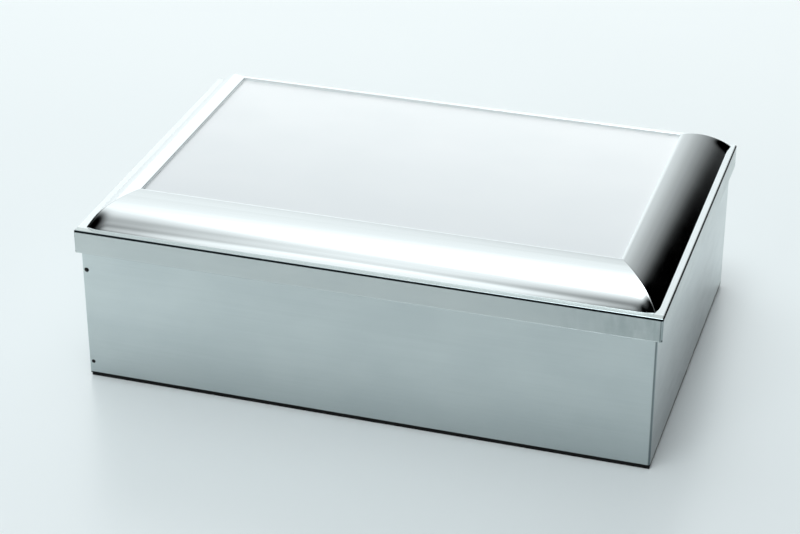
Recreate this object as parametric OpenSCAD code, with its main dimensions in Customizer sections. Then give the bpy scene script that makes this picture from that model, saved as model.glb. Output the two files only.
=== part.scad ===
// A flat tin box of folded sheet metal with a lift-off lid.
// The lid is a hemmed pan that carries four mitred, polished mouldings round a sunk satin panel.
// The origin is on the table under the middle of the box.
// X runs along the front to the right, Y runs to the back and Z runs up.

/* [Overall] */
// Width of the lid across its skirt
lid_w = 350; // [280:1:440]
// Depth of the lid across its skirt
lid_d = 231; // [180:1:300]
// Height of the flat ledge round the lid above the table
ledge_z = 100; // [80:1:160]

/* [Walls] */
// Thickness of the wall sheet
wall_t = 0.8; // [0.5:0.1:1.2]
// Inside radius of the folded corner
wall_fold_r = 0.4; // [0.2:0.1:1.5]
// Height of the closed hem inside the rim
wall_hem_h = 7; // [4:0.5:12]
// Width of the flange turned in under the base plate
flange_w = 12; // [8:0.5:20]
// Width of the tab lapped behind the next sheet
tab_w = 14; // [8:0.5:24]

/* [Corner rivets] */
// Diameter of a corner rivet's head
rivet_head_d = 2.2; // [1.8:0.1:4]
// Height of a corner rivet's head
rivet_head_h = 0.5; // [0.3:0.1:0.9]
// Diameter of a corner rivet's shank
rivet_d = 1.4; // [1:0.1:1.7]
// Space between a rivet's head and the inside of the side wall
rivet_edge = 0.3; // [0.1:0.1:3]
// Height of the lower rivet above the bottom edge of the wall
rivet_up = 8; // [6:0.5:20]
// Depth of the upper rivet below the rim
rivet_drop = 26; // [18:0.5:40]

/* [Base] */
// Thickness of the black pad under the box
pad_t = 2; // [1.5:0.1:5]
// How far the pad is set in from the walls
pad_inset = 0.5; // [0:0.1:3]
// Thickness of the base plate
base_t = 0.8; // [0.5:0.1:1.5]
// Diameter of a base rivet's shank
base_rivet_d = 2.4; // [1.6:0.1:3]
// Diameter of a base rivet's head
base_rivet_head_d = 4.8; // [4:0.1:6]
// Height of a base rivet's head
base_rivet_head_h = 0.8; // [0.4:0.1:1.2]
// Distance of the first base rivet from each corner
base_rivet_corner = 26; // [20:1:40]
// Number of base rivets along the front and the back
base_rivets_x = 4; // [2:1:8]
// Number of base rivets along each side
base_rivets_y = 3; // [2:1:6]

/* [Lid pan] */
// Thickness of the lid sheet
lid_t = 0.8; // [0.5:0.1:1.2]
// Height of the lid's skirt
skirt_h = 15; // [10:0.5:30]
// Height of the closed hem inside the skirt
skirt_hem_h = 5; // [3:0.5:8]
// Inside radius of the fold between ledge and skirt
lid_fold_r = 0.4; // [0.2:0.1:1.2]
// How far the radius of the skirt's upright corners exceeds its sheet's thickness
skirt_corner_ease = 0.2; // [0.1:0.05:0.35]
// Diameter of the relief hole at each lower corner of the skirt
relief_d = 0.9; // [0.5:0.1:1.6]

/* [Mouldings] */
// Width of the flat ledge outside the mouldings
ledge_w = 4.4; // [2:0.1:12]
// Width of a moulding
mould_w = 26.6; // [20:0.1:40]
// Height of a moulding's crest before its edge is rounded
mould_h = 17.2; // [14:0.1:24]
// How far the moulding's face bulges past the straight line from foot to crest
mould_bulge = 3.35; // [2:0.05:5]
// Thickness of the moulding's skin
mould_t = 1.5; // [1:0.1:2]
// Width of the lip that laps over the panel
lip_w = 3; // [2:0.1:4]
// Depth of the panel below the crest
recess = 2; // [1.6:0.1:3]
// Radius of the crest's inner edge
lip_r = 1.2; // [0.4:0.1:1.5]

/* [Panel] */
// Thickness of the satin panel
panel_t = 1; // [0.6:0.1:2]
// Thickness of the board behind the panel
board_t = 3; // [1.5:0.1:5]
// Width of the battens that hold the board up
batten_w = 10; // [6:0.5:16]

/* [Corner keys] */
// Width of a corner key's leg
key_w = 10; // [6:0.1:12]
// Length of a corner key's leg past the corner
key_leg = 24; // [12:1:40]

/* [Screws] */
// Diameter of a lid screw's shank
screw_d = 2.5; // [2:0.1:3.5]
// Diameter of a lid screw's head
screw_head_d = 5; // [4:0.1:6]
// Height of a lid screw's head
screw_head_h = 1.4; // [0.8:0.1:2]
// Length of a lid screw past the moulding's floor
screw_tip = 3; // [1:0.5:5]
// Number of lid screws along the front and the back
screws_x = 4; // [2:1:8]
// Number of lid screws along each side
screws_y = 3; // [2:1:6]

/* [Clearances] */
// Gap between the rim and the underside of the lid
seat_gap = 0.3; // [0.1:0.1:0.6]
// Side play between the skirt's hem and the wall
lid_play = 1.4; // [0.5:0.1:4]
// Gap between lapped sheets
lap_gap = 0.1; // [0.05:0.05:0.4]
// Gap along each mitre
mitre_gap = 0.1; // [0.05:0.05:0.4]
// Gap round a loose fitted plate, board or batten
fit_gap = 0.3; // [0.1:0.1:0.6]
// Gap round a corner key
key_gap = 0.2; // [0.1:0.05:0.5]
// Gap round a rivet or a screw in its hole
hole_gap = 0.05; // [0.02:0.01:0.2]
// Gap round a rivet's head in the pad
pad_hole_gap = 0.4; // [0.2:0.1:1]

/* [Hidden] */
$fn = 64;

// Overrun of every cutter past the face that it cuts
over = 1;

// Box: outside size, and the heights of its layers
body_w = lid_w - 2 * (2 * lid_t + lid_play);
body_d = lid_d - 2 * (2 * lid_t + lid_play);
wall_z = pad_t;
plate_z = wall_z + wall_t;
rim_z = ledge_z - lid_t - seat_gap;
hem_z = rim_z - wall_hem_h;
fold_outer_r = wall_fold_r + wall_t;
tab_z = plate_z + base_t + fit_gap;
tab_top_z = hem_z - fit_gap;

// Corner rivets: place across the wall, heights, and the sheets that they grip
rivet_in = wall_t + rivet_edge + rivet_head_d / 2;
rivet_heights = [wall_z + rivet_up, rim_z - rivet_drop];
rivet_grip = 2 * wall_t + lap_gap;

// Base rivets: their line inside the wall, and the sheets that they grip
base_rivet_in = (wall_t + flange_w) / 2;
base_rivet_grip = wall_t + base_t;

// Lid pan
skirt_z = ledge_z - skirt_h;
lid_fold_outer_r = lid_fold_r + lid_t;
skirt_corner_r = lid_t + skirt_corner_ease;

// Moulding: circle of the bulged face, found from its chord and its bulge.
// u runs inwards from the foot and v up from the ledge.
mould_chord = sqrt(mould_w * mould_w + mould_h * mould_h);
face_r = (mould_chord * mould_chord / 4 + mould_bulge * mould_bulge) / (2 * mould_bulge);
face_u = mould_w / 2 + (face_r - mould_bulge) * mould_h / mould_chord;
face_v = mould_h / 2 - (face_r - mould_bulge) * mould_w / mould_chord;
function face_height(u, r) = face_v + sqrt(r * r - (u - face_u) * (u - face_u));

// Rounded inner edge of the crest, tangent to the bulged face and to the upright lip
edge_u = mould_w - lip_r;
edge_v = face_height(edge_u, face_r - lip_r);
tangent_u = edge_u + lip_r * (edge_u - face_u) / (face_r - lip_r);
tangent_v = edge_v + lip_r * (edge_v - face_v) / (face_r - lip_r);

// Hollow of the moulding, and the key that fills its inner part
web_u = mould_w - lip_w;
hollow_u = web_u - mould_t;
rebate_v = mould_h - recess;
key_u1 = hollow_u - key_gap;
key_u0 = key_u1 - key_w;
key_v0 = mould_t + key_gap;
key_v1 = face_height(key_u0, face_r - mould_t) - key_gap;

// Panel and what lies under it
sight_w = lid_w - 2 * (ledge_w + mould_w);
sight_d = lid_d - 2 * (ledge_w + mould_w);
panel_w = sight_w + 2 * (lip_w - fit_gap);
panel_d = sight_d + 2 * (lip_w - fit_gap);
panel_z = ledge_z + rebate_v - panel_t;
board_z = panel_z - board_t;

// Lid screws: their line inside the moulding's foot and their distance from each corner
screw_u = (key_u0 + key_u1) / 2;
screw_corner = key_u1 + key_leg + screw_head_d;

// Size of the lid along and across a side, where side 0 is the front, 1 right, 2 back and 3 left
function lid_along(side) = side % 2 == 0 ? lid_w : lid_d;
function lid_across(side) = side % 2 == 0 ? lid_d : lid_w;
function body_along(side) = side % 2 == 0 ? body_w : body_d;
function body_across(side) = side % 2 == 0 ? body_d : body_w;

// Places of a row of count things, evenly from one end of a span to the other
function row_places(span, count) = [for (i = [0:count - 1]) span * (i / (count - 1) - 1 / 2)];

// Carries its children from the middle of the front's outer face to that of another side
module on_side(side, across) {
    rotate([0, 0, 90 * side]) translate([0, -across / 2, 0]) children();
}

// A profile of (inwards, up) drawn out along X
module drawn_out(length) {
    rotate([90, 0, 90]) translate([0, 0, -length / 2]) linear_extrude(length) children();
}

// Plan of a bar with both ends mitred, its long edge on the X axis
module mitre_plan(length, reach, gap) {
    half = length / 2 - gap;
    polygon([[-half, 0], [half, 0], [half - reach, reach], [reach - half, reach]]);
}

// A drawn-out profile cut to its mitres, between two heights
module mitred_bar(length, reach, low, high, gap) {
    intersection() {
        drawn_out(length) children();
        translate([0, 0, low]) linear_extrude(high - low) mitre_plan(length, reach, gap);
    }
}

// The scrap outside a rounded corner, with the corner at the origin and the scrap towards +X -Y
module corner_scrap(r) {
    difference() {
        translate([-r, -over]) square([r + over, r + over]);
        translate([-r, r]) circle(r);
    }
}

// A domed head on the XY plane, its top towards +Z
module domed_head(d, h) {
    ball_r = (d * d / 4 + h * h) / (2 * h);
    intersection() {
        translate([0, 0, h - ball_r]) sphere(ball_r);
        cylinder(d = d, h = h);
    }
}

// A closed rivet through sheets from the XY plane up to the grip, its made head below
module rivet(shank_d, head_d, head_h, grip) {
    cylinder(d = shank_d, h = grip);
    mirror([0, 0, 1]) domed_head(head_d, head_h);
    translate([0, 0, grip]) domed_head(head_d, head_h);
}

// Walls: one L-shaped sheet makes the front and the right, and its half turn the back and the left

// Section of the rim: a closed hem, twice the sheet's thickness, with a rounded top
module rim_profile() {
    translate([0, hem_z]) square([2 * wall_t, wall_hem_h - wall_t]);
    translate([wall_t, rim_z - wall_t]) circle(wall_t);
}

module flange_profile() {
    translate([0, wall_z]) square([flange_w, wall_t]);
}

// Plan of the upright sheet: the front, the folded corner and the right side up to the lap
module web_plan() {
    translate([-body_w / 2, -body_d / 2]) square([body_w - fold_outer_r, wall_t]);
    translate([body_w / 2 - wall_t, fold_outer_r - body_d / 2])
        square([wall_t, body_d - fold_outer_r - wall_t - lap_gap]);
    translate([body_w / 2 - fold_outer_r, fold_outer_r - body_d / 2]) intersection() {
        difference() {
            circle(fold_outer_r);
            circle(wall_fold_r);
        }
        translate([0, -fold_outer_r]) square(fold_outer_r);
    }
}

// Places of the base rivets under one side, as seen from that side's outer face
module at_base_rivets(side) {
    count = side % 2 == 0 ? base_rivets_x : base_rivets_y;
    on_side(side, body_across(side))
        for (x = row_places(body_along(side) - 2 * base_rivet_corner, count))
            translate([x, base_rivet_in, 0]) children();
}

// Places of the corner rivets at the left end of the front, pointing into the box
module at_corner_rivets() {
    for (z = rivet_heights)
        translate([rivet_in - body_w / 2, -body_d / 2, z]) rotate([-90, 0, 0]) children();
}

module rim_and_flanges() {
    difference() {
        union() {
            for (side = [0, 1]) {
                on_side(side, body_across(side)) {
                    mitred_bar(body_along(side), 2 * wall_t, hem_z, rim_z, mitre_gap / 2) rim_profile();
                    mitred_bar(body_along(side), flange_w, wall_z, plate_z, mitre_gap / 2) flange_profile();
                }
            }
            // Bridge across the rim's mitre at the folded corner, which is one sheet
            translate([body_w / 2 - wall_t, -body_d / 2, hem_z])
                cube([wall_t, wall_t, wall_hem_h - wall_t]);
        }
        translate([body_w / 2, -body_d / 2, wall_z - over])
            linear_extrude(rim_z - wall_z + 2 * over) corner_scrap(fold_outer_r);
        // Room for the end of the sheet that laps over the back of this one
        translate([body_w / 2 - flange_w, body_d / 2 - wall_t - lap_gap, wall_z - over])
            cube([flange_w + over, wall_t + lap_gap + over, hem_z - wall_z + over]);
    }
}

module wall_sheet() {
    difference() {
        union() {
            translate([0, 0, wall_z]) linear_extrude(hem_z - wall_z) web_plan();
            rim_and_flanges();
            translate([body_w / 2 - tab_w, body_d / 2 - 2 * wall_t - lap_gap, tab_z])
                cube([tab_w - wall_t / 2, wall_t, tab_top_z - tab_z]);
        }
        // Bores in the front's left end, and in the tab behind the back sheet
        for (turn = [0, 180]) rotate([0, 0, turn]) at_corner_rivets()
            translate([0, 0, -over]) cylinder(d = rivet_d + 2 * hole_gap, h = rivet_grip + 2 * over);
        for (side = [0, 1]) at_base_rivets(side)
            translate([0, 0, wall_z - over]) cylinder(d = base_rivet_d + 2 * hole_gap, h = wall_t + 2 * over);
    }
}

module front_right_wall() {
    color("lightsteelblue") wall_sheet();
}

module back_left_wall() {
    color("lightsteelblue") rotate([0, 0, 180]) wall_sheet();
}

module corner_rivets() {
    color("dimgray") at_corner_rivets() rivet(rivet_d, rivet_head_d, rivet_head_h, rivet_grip);
}

module corner_rivets_front_left() {
    corner_rivets();
}

module corner_rivets_back_right() {
    rotate([0, 0, 180]) corner_rivets();
}

// Base: a plate on the flanges, riveted down, over a pad with holes for the rivets' heads

module base_plate() {
    plate_w = body_w - 2 * (wall_t + fit_gap);
    plate_d = body_d - 2 * (wall_t + fit_gap);
    color("silver") difference() {
        translate([-plate_w / 2, -plate_d / 2, plate_z]) cube([plate_w, plate_d, base_t]);
        for (side = [0:3]) at_base_rivets(side)
            translate([0, 0, plate_z - over]) cylinder(d = base_rivet_d + 2 * hole_gap, h = base_t + 2 * over);
    }
}

module base_rivets() {
    color("gainsboro") for (side = [0:3]) at_base_rivets(side)
        translate([0, 0, wall_z]) rivet(base_rivet_d, base_rivet_head_d, base_rivet_head_h, base_rivet_grip);
}

module base_pad() {
    pad_w = body_w - 2 * pad_inset;
    pad_d = body_d - 2 * pad_inset;
    color("black") difference() {
        translate([-pad_w / 2, -pad_d / 2, 0]) cube([pad_w, pad_d, pad_t]);
        for (side = [0:3]) at_base_rivets(side)
            translate([0, 0, -over]) cylinder(d = base_rivet_head_d + 2 * pad_hole_gap, h = pad_t + 2 * over);
    }
}

// Lid pan: a flat top with its skirt folded down and hemmed inwards

module skirt_profile() {
    translate([lid_t, skirt_z + lid_t]) circle(lid_t);
    translate([0, skirt_z + lid_t]) square([lid_t, skirt_h - lid_t - lid_fold_outer_r]);
    translate([0, skirt_z + lid_t]) square([2 * lid_t, skirt_hem_h - lid_t]);
    translate([lid_fold_outer_r, ledge_z - lid_fold_outer_r]) intersection() {
        difference() {
            circle(lid_fold_outer_r);
            circle(lid_fold_r);
        }
        translate([-lid_fold_outer_r, 0]) square(lid_fold_outer_r);
    }
}

// Places of the lid screws under one side, at the height of the moulding's foot
module at_lid_screws(side) {
    count = side % 2 == 0 ? screws_x : screws_y;
    span = lid_along(side) - 2 * (ledge_w + screw_corner);
    on_side(side, lid_across(side))
        for (x = row_places(span, count))
            translate([x, ledge_w + screw_u, ledge_z]) children();
}

module lid_pan() {
    top_w = lid_w - 2 * lid_fold_outer_r;
    top_d = lid_d - 2 * lid_fold_outer_r;
    reach = max(2 * lid_t, lid_fold_outer_r);
    color("lightgray") difference() {
        union() {
            translate([-top_w / 2, -top_d / 2, ledge_z - lid_t]) cube([top_w, top_d, lid_t]);
            for (side = [0:3]) on_side(side, lid_across(side))
                mitred_bar(lid_along(side), reach, skirt_z, ledge_z, 0) skirt_profile();
        }
        for (turn = [0, 1]) rotate([0, 0, 180 * turn]) {
            translate([lid_w / 2, -lid_d / 2, skirt_z - over])
                linear_extrude(skirt_h + 2 * over) corner_scrap(skirt_corner_r);
            translate([-lid_w / 2, -lid_d / 2, skirt_z - over])
                linear_extrude(skirt_h + 2 * over) mirror([1, 0]) corner_scrap(skirt_corner_r);
        }
        for (x = [-1, 1], y = [-1, 1])
            translate([x * lid_w / 2, y * lid_d / 2, skirt_z + lid_t + relief_d / 2])
                rotate([0, 90, atan2(y, x)]) translate([0, 0, -2 * lid_t - over])
                    cylinder(d = relief_d, h = 2 * lid_t + 2 * over);
        for (side = [0:3]) at_lid_screws(side) translate([0, 0, -lid_t - over])
            cylinder(d = screw_d + 2 * hole_gap, h = lid_t + 2 * over);
    }
}

// Mouldings: hollow mitred bars with a bulged face and a lip that laps over the panel

module moulding_profile() {
    difference() {
        union() {
            intersection() {
                translate([face_u, face_v]) circle(face_r, $fn = 256);
                square([tangent_u, mould_h]);
            }
            polygon([[tangent_u, 0], [mould_w, 0], [mould_w, edge_v], [edge_u, edge_v], [tangent_u, tangent_v]]);
            translate([edge_u, edge_v]) circle(lip_r);
        }
        translate([web_u, -over]) square([lip_w + over, rebate_v + over]);
        intersection() {
            translate([face_u, face_v]) circle(face_r - mould_t, $fn = 256);
            translate([0, mould_t]) square([hollow_u, mould_h]);
        }
    }
}

module moulding(side) {
    length = lid_along(side) - 2 * ledge_w;
    color("white") difference() {
        on_side(side, lid_across(side)) translate([0, ledge_w, ledge_z])
            mitred_bar(length, mould_w, 0, mould_h, mitre_gap / 2) moulding_profile();
        at_lid_screws(side) translate([0, 0, -over])
            cylinder(d = screw_d + 2 * hole_gap, h = mould_t + 2 * over);
    }
}

module moulding_front() {
    moulding(0);
}

module moulding_right() {
    moulding(1);
}

module moulding_back() {
    moulding(2);
}

module moulding_left() {
    moulding(3);
}

// Corner keys: an L in the hollows of two mouldings holds each mitre closed

module corner_key(x, y) {
    leg = key_u1 - key_u0 + key_leg;
    color("darkgray") translate([x * (lid_w / 2 - ledge_w), y * (lid_d / 2 - ledge_w), ledge_z + key_v0])
        scale([-x, -y, 1]) linear_extrude(key_v1 - key_v0) {
            translate([key_u0, key_u0]) square([leg, key_w]);
            translate([key_u0, key_u0]) square([key_w, leg]);
        }
}

module corner_key_front_right() {
    corner_key(1, -1);
}

module corner_key_back_right() {
    corner_key(1, 1);
}

module corner_key_back_left() {
    corner_key(-1, 1);
}

module corner_key_front_left() {
    corner_key(-1, -1);
}

// Panel: a thin sheet under the lips, a board behind it and battens down to the pan

module lid_panel() {
    color("whitesmoke") translate([-panel_w / 2, -panel_d / 2, panel_z]) cube([panel_w, panel_d, panel_t]);
}

module backing_board() {
    color("tan") translate([-panel_w / 2, -panel_d / 2, board_z]) cube([panel_w, panel_d, board_t]);
}

// The long battens run the whole width, and the short ones fit between them
module batten(side) {
    inset = ledge_w + web_u + fit_gap;
    butt = side % 2 == 0 ? 0 : batten_w + fit_gap;
    length = lid_along(side) - 2 * (inset + butt);
    color("burlywood") on_side(side, lid_across(side))
        translate([-length / 2, inset, ledge_z]) cube([length, batten_w, board_z - ledge_z]);
}

module batten_front() {
    batten(0);
}

module batten_right() {
    batten(1);
}

module batten_back() {
    batten(2);
}

module batten_left() {
    batten(3);
}

// Lid screws: driven up through the pan into the mouldings' floors

module lid_screws() {
    color("silver") for (side = [0:3]) at_lid_screws(side) {
        translate([0, 0, -lid_t]) cylinder(d = screw_d, h = lid_t + mould_t + screw_tip);
        translate([0, 0, -lid_t]) mirror([0, 0, 1]) domed_head(screw_head_d, screw_head_h);
    }
}

front_right_wall();
back_left_wall();
corner_rivets_front_left();
corner_rivets_back_right();
base_plate();
base_rivets();
base_pad();
lid_pan();
moulding_front();
moulding_right();
moulding_back();
moulding_left();
corner_key_front_right();
corner_key_back_right();
corner_key_back_left();
corner_key_front_left();
lid_panel();
backing_board();
batten_front();
batten_right();
batten_back();
batten_left();
lid_screws();
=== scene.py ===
"""Looks of a flat tin box with a lift-off lid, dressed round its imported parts.

Lengths in the classes are millimetres in the part's own frame, and Blender gets metres.
"""

import logging
import math
from dataclasses import dataclass, field
from enum import Enum

import bmesh
import bpy
from mathutils import Matrix, Vector


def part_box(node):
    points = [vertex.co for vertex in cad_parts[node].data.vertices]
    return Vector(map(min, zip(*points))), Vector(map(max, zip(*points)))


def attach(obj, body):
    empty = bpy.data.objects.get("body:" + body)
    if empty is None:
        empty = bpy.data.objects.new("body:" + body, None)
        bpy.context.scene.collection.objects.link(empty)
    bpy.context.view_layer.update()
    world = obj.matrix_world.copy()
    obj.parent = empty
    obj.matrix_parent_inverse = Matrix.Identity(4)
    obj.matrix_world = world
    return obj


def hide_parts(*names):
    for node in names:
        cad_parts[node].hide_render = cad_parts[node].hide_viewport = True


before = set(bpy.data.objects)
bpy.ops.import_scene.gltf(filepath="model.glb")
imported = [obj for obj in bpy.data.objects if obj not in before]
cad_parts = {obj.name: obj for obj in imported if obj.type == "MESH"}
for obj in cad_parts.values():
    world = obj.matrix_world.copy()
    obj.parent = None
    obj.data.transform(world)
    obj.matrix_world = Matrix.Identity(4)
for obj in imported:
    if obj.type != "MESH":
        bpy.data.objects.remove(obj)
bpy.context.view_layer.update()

MM = 0.001
log = logging.getLogger("metal_tin")


class Run(Enum):
    """The way that a bar, a sheet or its rolling lines run."""

    ALONG_X = "along the front and the back"
    ALONG_Y = "along the sides"

    def mark(self, long: float, wide: float) -> tuple[float, float, float]:
        """The size along x, y and z of a mark that is long along the run."""
        return (long, wide, wide) if self is Run.ALONG_X else (wide, long, wide)


class Side(Enum):
    """The four sides of the lid, each with its quarter turns from the front."""

    FRONT = 0
    RIGHT = 1
    BACK = 2
    LEFT = 3


# Colours and nodes


def linear(colour: str) -> tuple[float, float, float, float]:
    """Turns an sRGB hex colour into Blender's linear one.

    Args:
        colour: The colour as "#RRGGBB".

    Returns:
        Linear red, green and blue, and full cover.
    """
    parts = [int(colour[i:i + 2], 16) / 255 for i in (1, 3, 5)]
    red, green, blue = (c / 12.92 if c <= 0.04045 else ((c + 0.055) / 1.055) ** 2.4 for c in parts)
    return red, green, blue, 1.0


def add_node(tree: bpy.types.NodeTree, kind: str, inputs: dict | None = None,
             stops: list[tuple[float, tuple]] | None = None, **settings) -> bpy.types.Node:
    """Adds one node with its settings and links.

    Args:
        tree: The node tree that gets it.
        kind: Blender's name for the node.
        inputs: For each input, by name or number, a value or the output that feeds it.
        stops: Places and colours of a ramp, where the node has one.
        settings: Other settings of the node.

    Returns:
        The new node.
    """
    node = tree.nodes.new(kind)
    for name, value in settings.items():
        setattr(node, name, value)
    if stops:
        marks = node.color_ramp.elements
        while len(marks) < len(stops):
            marks.new(1.0)
        for mark, (place, colour) in zip(marks, stops):
            mark.position, mark.color = place, colour
    for name, value in (inputs or {}).items():
        if isinstance(value, bpy.types.NodeSocket):
            tree.links.new(value, node.inputs[name])
        else:
            node.inputs[name].default_value = value
    return node


def pattern(tree: bpy.types.NodeTree, place: bpy.types.NodeSocket, size: tuple[float, float, float],
            low: float, high: float, detail: float = 2.0) -> bpy.types.NodeSocket:
    """Draws a soft irregular pattern whose marks have a real size.

    Args:
        tree: The node tree that gets it.
        place: Coordinates in millimetres.
        size: Length of one mark along x, y and z, in millimetres.
        low: Value at the pattern's darkest.
        high: Value at its lightest.
        detail: How much finer grain lies on it.

    Returns:
        The pattern's value.
    """
    spread = add_node(tree, "ShaderNodeVectorMath", {0: place, 1: size}, operation="DIVIDE")
    noise = add_node(tree, "ShaderNodeTexNoise",
                     {"Vector": spread.outputs[0], "Scale": 1.0, "Detail": detail})
    # Nearly all of the noise lies between a quarter and three quarters
    ranged = add_node(tree, "ShaderNodeMapRange",
                      {0: noise.outputs["Fac"], 1: 0.25, 2: 0.75, 3: low, 4: high},
                      interpolation_type="SMOOTHSTEP")
    return ranged.outputs[0]


def band(tree: bpy.types.NodeTree, value: bpy.types.NodeSocket, low: float, high: float,
         blur: float) -> bpy.types.NodeSocket:
    """Marks where a value lies between two limits.

    Args:
        tree: The node tree that gets it.
        value: The value, such as a height in millimetres.
        low: Lower limit.
        high: Upper limit.
        blur: Half the width over which each limit fades.

    Returns:
        1 between the limits and 0 outside.
    """
    over = add_node(tree, "ShaderNodeMapRange", {0: value, 1: low - blur, 2: low + blur})
    under = add_node(tree, "ShaderNodeMapRange", {0: value, 1: high + blur, 2: high - blur})
    both = add_node(tree, "ShaderNodeMath", {0: over.outputs[0], 1: under.outputs[0]},
                    operation="MULTIPLY")
    return both.outputs[0]


def folds(tree: bpy.types.NodeTree, sharp: float, soft: float) -> bpy.types.NodeSocket:
    """Finds the rounded folds and edges of a part whose flat faces are square to its frame.

    Args:
        tree: The node tree that gets it.
        sharp: Lean of the surface where a fold starts, from 0 to 0.3.
        soft: Lean at which it counts in full.

    Returns:
        0 on the flat faces and 1 on the folds.
    """
    lean = add_node(tree, "ShaderNodeTexCoord").outputs["Normal"]
    size = add_node(tree, "ShaderNodeVectorMath", {0: lean}, operation="ABSOLUTE").outputs[0]
    x, y, z = add_node(tree, "ShaderNodeSeparateXYZ", {0: size}).outputs
    upright = add_node(tree, "ShaderNodeMath", {0: x, 1: y}, operation="MAXIMUM").outputs[0]
    most = add_node(tree, "ShaderNodeMath", {0: upright, 1: z}, operation="MAXIMUM").outputs[0]
    rest = add_node(tree, "ShaderNodeMath", {0: 1.0, 1: most}, operation="SUBTRACT").outputs[0]
    ranged = add_node(tree, "ShaderNodeMapRange", {0: rest, 1: sharp, 2: soft},
                      interpolation_type="SMOOTHSTEP")
    return ranged.outputs[0]


def add_mesh(name: str, shape: bmesh.types.BMesh, finish: bpy.types.Material) -> bpy.types.Object:
    """Adds a drawn shape to the scene.

    Args:
        name: The name of the piece.
        shape: The drawing, which is used up.
        finish: The piece's material.

    Returns:
        The piece.
    """
    mesh = bpy.data.meshes.new(name)
    shape.to_mesh(mesh)
    shape.free()
    mesh.materials.append(finish)
    piece = bpy.data.objects.new(name, mesh)
    bpy.context.scene.collection.objects.link(piece)
    return piece


# Finishes


@dataclass(frozen=True)
class Finish:
    """What a part is made of and how its surface was made."""

    name: str
    colour: str
    roughness: float
    metallic: float = 1.0

    def material(self) -> bpy.types.Material:
        """Builds the finish as a Blender material.

        Returns:
            The material, with its pattern.
        """
        made = bpy.data.materials.new(self.name)
        made.use_nodes = True
        tree = made.node_tree
        shader = tree.nodes["Principled BSDF"]
        shader.inputs["Base Color"].default_value = linear(self.colour)
        shader.inputs["Roughness"].default_value = self.roughness
        shader.inputs["Metallic"].default_value = self.metallic
        place = add_node(tree, "ShaderNodeTexCoord").outputs["Object"]
        place = add_node(tree, "ShaderNodeVectorMath", {0: place, "Scale": 1 / MM}, operation="SCALE")
        self.work(tree, shader, place.outputs[0])
        return made

    def work(self, tree: bpy.types.NodeTree, shader: bpy.types.Node, place: bpy.types.NodeSocket) -> None:
        """Adds the pattern of the finish.

        Args:
            tree: The material's node tree.
            shader: Its main shader.
            place: Coordinates in millimetres.
        """
        raise NotImplementedError

    def tint(self, tree: bpy.types.NodeTree, shader: bpy.types.Node, amount: bpy.types.NodeSocket,
             other: str, most: float | bpy.types.NodeSocket = 1.0) -> None:
        """Shades the colour towards another.

        Args:
            tree: The material's node tree.
            shader: Its main shader.
            amount: Where the other colour lies, from 0 to 1.
            other: The other colour.
            most: Its share where the amount is 1, the same all over or from a pattern.
        """
        before = shader.inputs["Base Color"]
        first = before.links[0].from_socket if before.is_linked else tuple(before.default_value)
        share = add_node(tree, "ShaderNodeMath", {0: amount, 1: most}, operation="MULTIPLY").outputs[0]
        mixed = add_node(tree, "ShaderNodeMix", {"Factor": share, 6: first, 7: linear(other)},
                         data_type="RGBA")
        tree.links.new(mixed.outputs[2], before)

    def relief(self, tree: bpy.types.NodeTree, shader: bpy.types.Node, height: bpy.types.NodeSocket,
               depth: float) -> None:
        """Raises the surface by a pattern.

        Args:
            tree: The material's node tree.
            shader: Its main shader.
            height: The pattern, from 0 to 1.
            depth: Height of its tops over its hollows, in millimetres.
        """
        before = shader.inputs["Normal"]
        inputs = {"Height": height, "Distance": depth * MM, "Strength": 1.0}
        if before.is_linked:
            inputs["Normal"] = before.links[0].from_socket
        bump = add_node(tree, "ShaderNodeBump", inputs)
        tree.links.new(bump.outputs[0], before)


@dataclass(frozen=True)
class SatinTinplate(Finish):
    """Tinplate: thin steel sheet, rolled and dipped in tin, then rolled once more with satin rolls.

    The eye gets a soft grey sheen without clear reflections, faint level rolling lines, slow clouds from
    handling, and folds with a painted shade, darker than the flat sheet, that stands for their dark
    reflections.
    """

    cloud: float = 34.0
    # Rolling lines and satin grain are under 0.1 mm wide, too fine to show, so both are drawn coarser
    line: float = 0.9
    line_length: float = 90.0
    grain: float = 0.55
    bend_shade_tone: str = "#7F8C92"

    def work(self, tree: bpy.types.NodeTree, shader: bpy.types.Node, place: bpy.types.NodeSocket) -> None:
        """Adds clouds, rolling lines, grain and the folds' painted shade; see the base class."""
        clouds = pattern(tree, place, (self.cloud, self.cloud, 0.7 * self.cloud), 0.0, 0.22, 3.0)
        self.tint(tree, shader, clouds, "#AEBABD")
        lines = pattern(tree, place, (self.line_length, self.line_length, self.line), 0.0, 1.0)
        self.tint(tree, shader, lines, "#E9EFF0", 0.10)
        # Painted shade: rounded folds are darkened to stand for the dark reflections along them
        bent = folds(tree, 0.02, 0.2)
        self.tint(tree, shader, bent, self.bend_shade_tone, 0.6)
        rough = pattern(tree, place, (18.0, 18.0, 5.0), self.roughness - 0.03, self.roughness + 0.03)
        smooth = add_node(tree, "ShaderNodeMath", {0: bent, 1: -0.08, 2: rough}, operation="MULTIPLY_ADD")
        tree.links.new(smooth.outputs[0], shader.inputs["Roughness"])
        self.relief(tree, shader, lines, 0.0012)
        self.relief(tree, shader, pattern(tree, place, (self.grain,) * 3, 0.0, 1.0), 0.0015)
        self.relief(tree, shader, pattern(tree, place, (70.0, 70.0, 50.0), 0.0, 1.0, 0.0), 0.08)


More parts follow.
